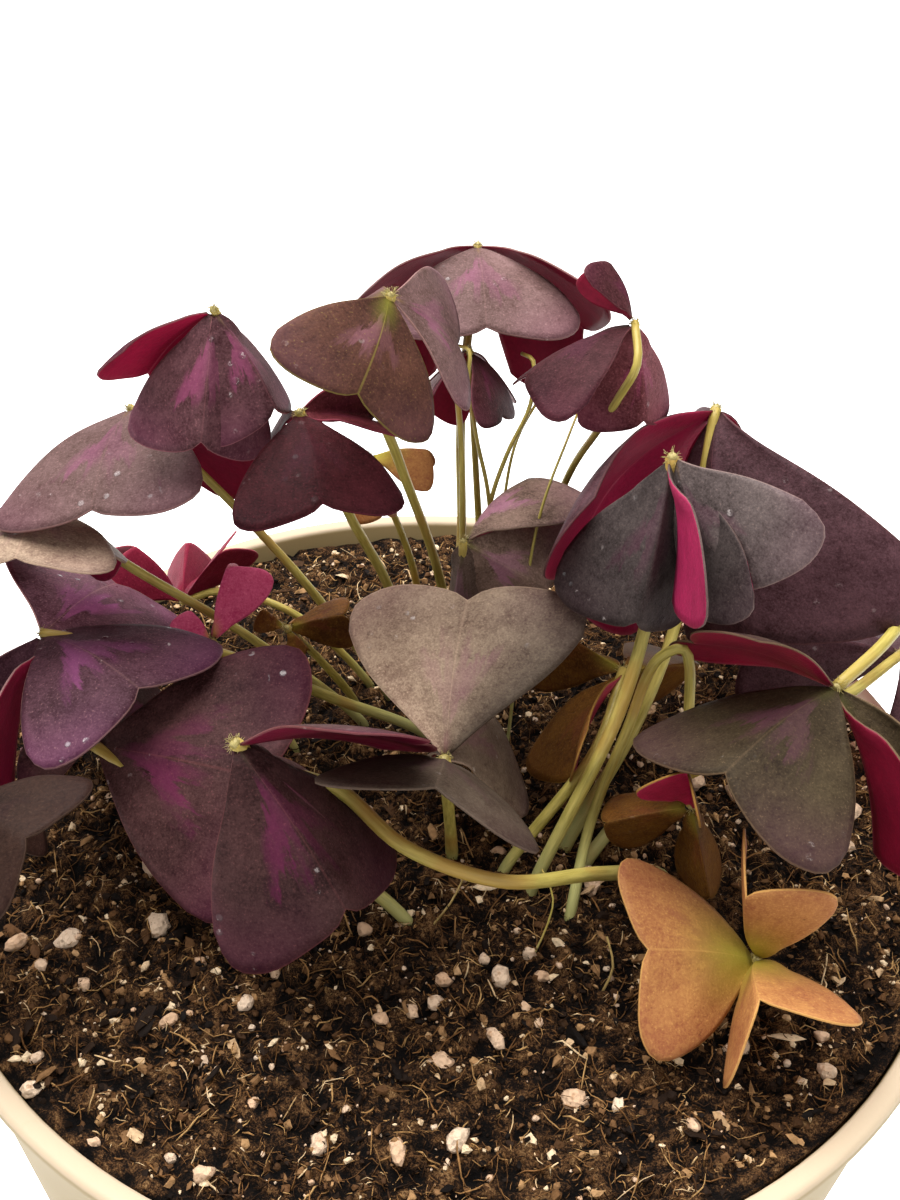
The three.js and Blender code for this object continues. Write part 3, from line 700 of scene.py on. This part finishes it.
def upperFinish(name, look):
    made = Finish(name + "Upper")
    side, out = made.gridOf("grid")
    tone, pick = made.gridOf("tone")
    signed = side * 2 - 1
    across = abs(signed)
    # Faint streaks run out from the hub.
    fan = made.node("ShaderNodeCombineXYZ", None, {0: signed * 5.0, 1: out * 1.6, 2: pick * 40.0})
    streak = made.speckle(1.8, 5.0, 0.65, where=fan)
    blotch = made.speckle(105.0, 5.0, 0.62)
    mottle = made.speckle(900.0, 4.0, 0.7)
    grit = made.speckle(2600.0, 2.0, 0.6)
    share = (blotch - 0.5) * 1.8 + (streak - 0.5) * 0.6 + (mottle - 0.5) * 1.2 + (grit - 0.5) * 1.3 + 0.5
    body = made.mix(share.held(), linear(look["dark"]), linear(look["light"]))
    lobes = out.rise(0.6, 1.0) * across.rise(0.0, 0.7) * look["show"] * 0.3
    body = made.mix(lobes, body, linear(look["patch"]))
    # The patch is a torn chevron, stronger on one side of the midrib.
    torn = (streak - 0.5) * 0.55 + (blotch - 0.5) * 0.3 + (mottle - 0.5) * 0.12
    band = abs(out - 0.33 - across * 0.42 + torn)
    patch = (1 - band.rise(0.07, 0.15)) * (1 - (across + torn).rise(0.3, 0.55))
    tear = (1 - abs(across - 0.1 + torn * 0.6).rise(0.05, 0.1)) * out.rise(0.12, 0.25)
    tear = tear * (1 - (out + torn).rise(0.5, 0.75))
    patch = (patch + tear).held() * (0.55 + (signed * 5.0).held() * 0.45) * (0.7 + (mottle - 0.3) * 0.6)
    body = made.mix((patch * look["show"]).held(), body, linear(look["patch"]))
    root = 1 - (out + across * 0.3 + torn * 0.25).rise(0.02, look["hubReach"])
    body = made.mix(root * 0.75, body, linear(look["hub"]))
    thin = 1 - across.rise(0.004, 0.014 + 0.01 * look["rib"])
    body = made.mix(thin * look["rib"] * (1 - out * 0.5), body, linear(look["margin"]))
    edge = (across.rise(0.986, 0.998) + out.rise(0.99, 0.999)).held()
    body = made.mix(edge * 0.4, body, linear(look["margin"]))
    body = made.mix(mottle.rise(0.34, 0.2) * 0.55, body, linear(bladeMarks["pore"]))
    pale = (grit.rise(0.62, 0.75) * 0.3 + mottle.rise(0.66, 0.78) * 0.25).held()
    body = made.mix(pale, body, linear(look["margin"]))
    # the tone layer multiplies the colour: painted light and shade for each leaflet and across it
    shade = made.node("ShaderNodeCombineXYZ", None, {0: tone, 1: tone, 2: tone})
    body = made.mix(1.0, body, shade, "MULTIPLY")
    # Drops and flecks sit in small clumps. Drops get a painted highlight; pale flecks are partly painted
    # glints.
    clump = made.speckle(75.0, 2.0).rise(0.5, 0.6)
    dropAndGlint = 1 - made.cells(280.0).rise(0.12, 0.2)
    dropAndGlint = dropAndGlint * clump * look["wet"]
    smear = made.speckle(260.0, 5.0, 0.7, warp=1.0).rise(0.66, 0.7) * clump * look["wet"]
    fleck = made.speckle(700.0, 5.0, 0.75, warp=1.5).rise(0.7 - 0.05 * look["debris"], 0.75)
    fleck = fleck * clump * look["debris"]
    # dark debris and pale flecks; the pale ones are partly painted glints
    debrisAndGlint = made.mix(mottle.rise(0.45, 0.55), linear(bladeMarks["debrisDark"]),
                     linear(bladeMarks["paleFleckAndGlint"]))
    body = made.mix((smear * 0.5).held(), body, linear(bladeMarks["damp"]))
    body = made.mix(fleck.held() * 0.8, body, debrisAndGlint)
    # painted highlight: pale glints on the drops
    body = made.mix((dropAndGlint * mottle.rise(0.52, 0.6)).held() * 0.5, body, linear(bladeMarks["dropAndGlint"]))
    made.surface(Base_Color=body, Roughness=(0.56 - 0.42 * dropAndGlint - 0.3 * smear).held())
    made.surface(Coat_Weight=(dropAndGlint + smear * 0.6).held(), Coat_Roughness=0.06)
    made.surface(Specular_IOR_Level=look.get("sheen", bladeMarks["sheen"]))
    made.bump(grit * 0.35 + mottle * 0.7 + blotch * 1.0 + streak * 0.3 + dropAndGlint * 1.5, 0.6, 0.0003)
    return made


def underFinish(name, look):
    made = Finish(name + "Under")
    side, out = made.gridOf("grid")
    signed = side * 2 - 1
    across = abs(signed)
    fan = made.node("ShaderNodeCombineXYZ", None, {0: signed * 5.0, 1: out * 1.6, 2: 3.0})
    streak = made.speckle(1.8, 4.0, 0.6, where=fan)
    fine = made.speckle(1500.0, 3.0, 0.7)
    blotch = made.speckle(110.0, 3.0)
    deep = made.mix(0.65, linear(look["under"]), linear(bladeMarks["underDeep"]))
    share = ((streak - 0.5) * 0.7 + (fine - 0.5) * 0.9 + (blotch - 0.5) + 0.5).held()
    tone = made.mix(share, deep, linear(look["under"]))
    tone = made.mix((1 - across.rise(0.006, 0.02)) * 0.3, tone, linear(bladeMarks["underRib"]))
    edge = (across.rise(0.98, 0.995) + out.rise(0.985, 0.998)).held()
    tone = made.mix(edge * 0.3, tone, linear(bladeMarks["underMargin"]))
    made.surface(Base_Color=tone, Roughness=0.5, Specular_IOR_Level=0.2)
    # painted glow standing in for light that comes through the thin blade
    made.surface(Emission_Color=tone, Emission_Strength=bladeMarks["underGlow"])
    made.bump(fine + streak * 0.4, 0.4, 0.0002)
    return made


def leafletAxes(heading, dip, roll):
    turn, fall, tilt = math.radians(heading), math.radians(dip), math.radians(roll)
    ahead = Vector((math.cos(turn) * math.cos(fall), math.sin(turn) * math.cos(fall), -math.sin(fall)))
    level = Vector((math.cos(turn) * math.sin(fall), math.sin(turn) * math.sin(fall), math.cos(fall)))
    beside = ahead.cross(level)
    up = level * math.cos(tilt) + beside * math.sin(tilt)
    right = beside * math.cos(tilt) - level * math.sin(tilt)
    return ahead, up, right


def marginReach(share, rounding):  # notched at the midrib, widest at the lobes
    lobe = math.sin(math.pi / 2 * min(1, share / 0.78)) ** 0.8
    corner = max(0, (share - 0.8) / 0.2) ** 2
    return 0.95 + 0.2 * lobe - (0.1 + 0.17 * rounding) * corner


def leafletPoint(hub, length, shape, axes, fold, across, out, wave):
    ahead, up, right = axes
    side = 1 if across >= 0 else -1
    slack = min(1, abs(across) / 0.09)  # the crease at the midrib is a little round
    bend = math.radians(fold) * min(1, 0.4 + 1.8 * out) * (0.55 + 0.45 * slack)
    angle = math.radians(abs(across) * blade["apexAngle"] * (1 + 0.12 * math.sin(math.pi * out)))
    far = length * marginReach(abs(across), shape["rounding"])
    far *= 1 + wave * 0.7 * math.sin(9 * across + 80 * wave)
    reach = blade["start"] + (far - blade["start"]) * out
    sideways = right * (side * math.cos(bend)) - up * math.sin(bend)
    ripple = wave * length * math.sin(5.5 * across + 7 * out + 60 * wave) * out * abs(across)
    arch = shape["arching"] * length * math.sin(math.pi * out) + ripple
    return hub + ahead * (reach * math.cos(angle)) + sideways * (reach * math.sin(angle)) + up * arch


def addLeaflet(points, faces, grid, kinds, leaf, leaflet, wave):  # kinds: 0 upper face and rim, 1 under face
    hub = Vector(leaf["hub"])
    heading, dip, roll, fold = leaflet[:4]
    length = leaf["length"] * (leaflet[4] if len(leaflet) > 4 else 1)
    shape = {key: leaf.get(key, blade[key]) for key in ("rounding", "arching")}
    axes = leafletAxes(heading, dip, roll)
    columns, rows = blade["acrossSteps"] + 1, blade["outSteps"] + 1
    sheet = []
    for row in range(rows):
        out = row / (rows - 1)
        for column in range(columns):
            across = 2 * column / (columns - 1) - 1
            across = math.copysign(abs(across) ** 0.9, across)  # a little closer set at the midrib
            sheet.append((leafletPoint(hub, length, shape, axes, fold, across, out, wave), across, out))
    start = len(points)
    place = lambda row, column: sheet[row * columns + column][0]
    for row in range(rows):
        for column in range(columns):
            here, across, out = sheet[row * columns + column]
            along = place(min(rows - 1, row + 1), column) - place(max(0, row - 1), column)
            over = place(row, min(columns - 1, column + 1)) - place(row, max(0, column - 1))
            normal = over.cross(along).normalized()
            points += [here * mm, (here - normal * blade["thickness"]) * mm]
            grid += [(across * 0.5 + 0.5, out)] * 2
    top = lambda row, column: start + 2 * (row * columns + column)
    for row in range(rows - 1):
        for column in range(columns - 1):
            a, b = top(row, column), top(row, column + 1)
            c, d = top(row + 1, column + 1), top(row + 1, column)
            faces += [(a, b, c, d), (a + 1, d + 1, c + 1, b + 1)]
            kinds += [0, 1]
    rim = [top(0, column) for column in range(columns - 1)]
    rim += [top(row, columns - 1) for row in range(rows - 1)]
    rim += [top(rows - 1, column) for column in range(columns - 1, 0, -1)]
    rim += [top(row, 0) for row in range(rows - 1, 0, -1)]
    for k, a in enumerate(rim):
        b = rim[(k + 1) % len(rim)]
        faces.append((b, a, a + 1, b + 1))
        kinds.append(0)


def makeBlades(key, leaf, finishes):
    points, faces, grid, kinds, tonesAndLight = [], [], [], [], []
    used = list(finishes[leaf["look"]])
    draw = random.Random("blades" + key)
    for number, leaflet in enumerate(leaf["leaflets"]):
        before, facesBefore = len(points), len(faces)
        addLeaflet(points, faces, grid, kinds, leaf, leaflet, blade["ripple"] * draw.uniform(0.6, 1.4))
        other = leaf.get("others", {}).get(number)
        if other:
            kinds[facesBefore:] = [kind + len(used) for kind in kinds[facesBefore:]]
            used += finishes[other]
        # painted light and shade: the tone scales the leaflet's colour, and the lean paints one side lighter
        # than the other
        tone = leaf.get("tonesAndLight", (1, 1, 1))[number]
        lean = leaf.get("paintedSideLight", (0, 0, 0))[number]
        pick = draw.random()
        tonesAndLight += [(tone * (1 + lean * (side * 2 - 1)), pick) for side, _ in grid[before:]]
    piece = meshPiece(f"leaf{key.upper()}Blades", points, faces, used, kinds, grid, tonesAndLight=tonesAndLight)
    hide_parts(f"leaf_{key}_blades")


stalkLook = {
    "dark": "#7c7026", "light": "#d0be68", "foot": "#aeb680", "tan": "#a8803e", "top": "#a8863e",
    "steps": 14, "footDepth": 9, "dryColours": ((0.0, "#9a8048"), (1.0, "#c2a66a")),
}

hubLook = {
    "dark": "#8c7c38", "light": "#c4b478", "radius": 0.6, "bigRadius": 0.85, "bigFrom": 2.3,
    "hairs": 60, "hairLengths": (0.4, 1.2), "hairRadius": 0.045,
}


def smoothRoute(route, steps):  # a centripetal Catmull-Rom curve through the route's points
    first, last = route[0] * 2 - route[1], route[-1] * 2 - route[-2]
    knots = [first] + route + [last]
    curve = []
    for i in range(len(route) - 1):
        p0, p1, p2, p3 = knots[i:i + 4]
        t0 = 0.0
        t1 = t0 + max(1e-4, (p1 - p0).length) ** 0.5
        t2 = t1 + max(1e-4, (p2 - p1).length) ** 0.5
        t3 = t2 + max(1e-4, (p3 - p2).length) ** 0.5
        count = max(3, round(steps * (p2 - p1).length / 30))
        for k in range(count):
            t = t1 + (t2 - t1) * k / count
            a1 = p0 * ((t1 - t) / (t1 - t0)) + p1 * ((t - t0) / (t1 - t0))
            a2 = p1 * ((t2 - t) / (t2 - t1)) + p2 * ((t - t1) / (t2 - t1))
            a3 = p2 * ((t3 - t) / (t3 - t2)) + p3 * ((t - t2) / (t3 - t2))
            b1 = a1 * ((t2 - t) / (t2 - t0)) + a2 * ((t - t0) / (t2 - t0))
            b2 = a2 * ((t3 - t) / (t3 - t1)) + a3 * ((t - t1) / (t3 - t1))
            curve.append(b1 * ((t2 - t) / (t2 - t1)) + b2 * ((t - t1) / (t2 - t1)))
    return curve + [route[-1]]


def stalkRoute(leaf):
    x, y = leaf["root"]
    collar = Vector((x, y, soil["level"] + soilSwell(x, y) + 1))
    bends = [Vector(bend) for bend in leaf["bends"]]
    hub = Vector(leaf["hub"])
    lean = ((bends + [hub])[0] - collar).normalized()
    foot = collar - (lean + Vector((0, 0, 1))).normalized() * stalkLook["footDepth"]
    return smoothRoute([foot, collar] + bends + [hub], stalkLook["steps"])


def addTube(points, faces, grid, route, radii, sides=12):
    start = len(points)
    beside = None
    for k, here in enumerate(route):
        ahead = (route[min(len(route) - 1, k + 1)] - route[max(0, k - 1)]).normalized()
        beside = beside - ahead * beside.dot(ahead) if beside else ahead.orthogonal()
        beside.normalize()
        over = ahead.cross(beside)
        for side in range(sides):
            turn = 2 * math.pi * side / sides
            points.append((here + (beside * math.cos(turn) + over * math.sin(turn)) * radii[k]) * mm)
            grid.append((side / sides, k / (len(route) - 1)))
    addTubeFaces(faces, start, len(route), sides)


def stalkFinish():
    made = Finish("stalkSkin")
    around, along = made.gridOf("grid")
    skin = made.node("ShaderNodeCombineXYZ", None, {0: around * 7.0, 1: along * 9.0, 2: 0.5})
    streak = made.speckle(1.6, 4.0, 0.62, where=skin)
    patchy = made.speckle(75.0, 3.0)
    tone = made.mix((streak * 1.6 - 0.3).held(), linear(stalkLook["dark"]), linear(stalkLook["light"]))
    tone = made.mix((1 - along.rise(0.08, 0.35)) * 0.55, tone, linear(stalkLook["foot"]))
    tone = made.mix(patchy.rise(0.5, 0.68) * 0.65, tone, linear(stalkLook["tan"]))
    tone = made.mix(along.rise(0.86, 1.0) * 0.4, tone, linear(stalkLook["top"]))
    made.surface(Base_Color=tone, Roughness=0.4, Specular_IOR_Level=0.3)
    made.bump(streak + made.speckle(1400.0, 3.0) * 0.4, 0.25, 0.0002)
    return made


def hubFinish():
    made = Finish("hubSkin")
    soft = made.speckle(900.0, 3.0)
    made.surface(Base_Color=made.mix(soft, linear(hubLook["dark"]), linear(hubLook["light"])), Roughness=0.55)
    made.bump(soft, 0.4, 0.0003)
    return made


def makeStalk(key, leaf, skin, pale):
    points, faces, grid, kinds = [], [], [], []
    route = stalkRoute(leaf)
    draw = random.Random("stalk" + key)
    half = leaf["thick"] / 2
    wobble = draw.uniform(0, 6)
    radii = []
    for k in range(len(route)):
        share = k / (len(route) - 1)
        radii.append(half * (1.02 - 0.16 * share + 0.04 * math.sin(9 * share + wobble)))
    addTube(points, faces, grid, route, radii)
    kinds += [0] * len(faces)
    hub = Vector(leaf["hub"])
    before = len(faces)
    size = hubLook["bigRadius"] if leaf["thick"] > hubLook["bigFrom"] else hubLook["radius"]
    addLump(points, faces, grid, hub, (size, size, size), draw.random(), draw, fine=True, rough=0.2)
    for _ in range(hubLook["hairs"]):  # short pale hairs round the hub
        way = Vector((draw.gauss(0, 1), draw.gauss(0, 1), draw.gauss(0.2, 0.9))).normalized()
        long = draw.uniform(*hubLook["hairLengths"])
        curl = Vector((draw.gauss(0, 0.25), draw.gauss(0, 0.25), draw.gauss(0, 0.25)))
        middle = hub + way * (size + long * 0.5) + curl * 0.4
        hair = [hub + way * size * 0.8, middle, hub + way * (size + long * 0.8) + curl]
        addStrand(points, faces, grid, hair, hubLook["hairRadius"], draw.random())
    kinds += [1] * (len(faces) - before)
    piece = meshPiece(f"leaf{key.upper()}Stalk", points, faces, [skin, pale], kinds, grid)
    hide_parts(f"leaf_{key}_stalk")


def makeLeaves():
    finishes = {name: [upperFinish(name, look), underFinish(name, look)] for name, look in looks.items()}
    skin, pale = stalkFinish(), hubFinish()
    for key, leaf in leaves.items():
        makeBlades(key, leaf, finishes)
        makeStalk(key, leaf, skin, pale)
    makeBareStalks(skin)


# Bare and dried stalks: thickness, whether dry, and the route from the soil or the stalk it hangs from.
bareStalks = [
    (1.6, False, [(2, 22, 160), (2, 22, 208), (1, 27, 227), (0, 30, 235)]),
    (1.0, False, [(9, 22, 160), (7, 26, 214), (4, 28, 227), (2, 30, 238), (2, 32, 243), (0, 34, 243)]),
    (1.1, False, [(6, 22, 160), (7, 26, 212), (10, 29, 223), (14, 31, 233), (14, 33, 241), (12, 36, 241)]),
    (0.8, False, [(10, 22, 160), (10, 28, 213), (12, 32, 225), (16, 36, 232)]),
    (0.7, False, [(13, 12, 160), (16, 14, 218), (21, 25, 229), (23, 30, 232)]),
    (0.5, True, [(-4, -41, 162), (-2, -38, 163.5), (2, -33, 165.5), (5, -27, 168)]),
    (0.4, False, [(16, -43, 162), (19, -38, 166), (20, -35, 170), (18, -31, 173)]),
    (0.5, True, [(28, -49, 162), (30, -46, 166), (29, -42, 169)]),
]


def makeBareStalks(skin):
    dry = litterFinish("dryStalk", stalkLook["dryColours"], 0.6, 900.0)
    points, faces, grid, kinds = [], [], [], []
    for thick, dried, route in bareStalks:
        curve = smoothRoute([Vector(place) for place in route], stalkLook["steps"])
        radii = [thick / 2 * (1.05 - 0.35 * k / len(curve)) for k in range(len(curve))]
        before = len(faces)
        addTube(points, faces, grid, curve, radii, 8)
        kinds += [int(dried)] * (len(faces) - before)
    meshPiece("bareStalks", points, faces, [skin, dry], kinds, grid)


makeLeaves()
print("leaves ready:", len(leaves))
